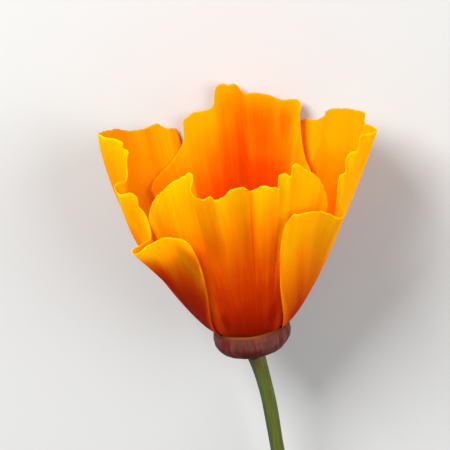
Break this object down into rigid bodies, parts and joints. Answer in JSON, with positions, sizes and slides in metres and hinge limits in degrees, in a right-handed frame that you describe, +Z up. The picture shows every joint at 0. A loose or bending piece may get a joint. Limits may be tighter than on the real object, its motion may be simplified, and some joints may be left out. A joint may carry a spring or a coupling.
{
  "type": "poppy flower",
  "caption": "Cut orange poppy flower lying on its side: cupped waved petals on a thick collar, with stamens, pistil and a slender curved stem.",
  "frame": {"origin": "centre of the bounding box in X and Y, on the surface that the flower lies on", "axes": "+Z up from that surface, +Y along the flower from the cut end of the stem towards the open mouth, +X across to the right petal"},
  "size_m": [0.046, 0.1212, 0.0403],
  "materials": {
    "petal": "thin silky petal tissue, orange with yellow rims and a red-orange foot",
    "receptacle": "matt fleshy tissue, pink-mauve with dark red streaks",
    "stem": "smooth matt plant stalk, olive green",
    "stamens": "dry powdery pollen sacs, orange",
    "pistil": "matt plant tissue, yellow-green"
  },
  "bodies": {
    "root": {"petal_front": "petal", "petal_back": "petal", "petal_left": "petal", "petal_right": "petal", "receptacle": "receptacle", "stem": "stem", "stamens": "stamens", "pistil": "pistil"}
  },
  "joints": []
}
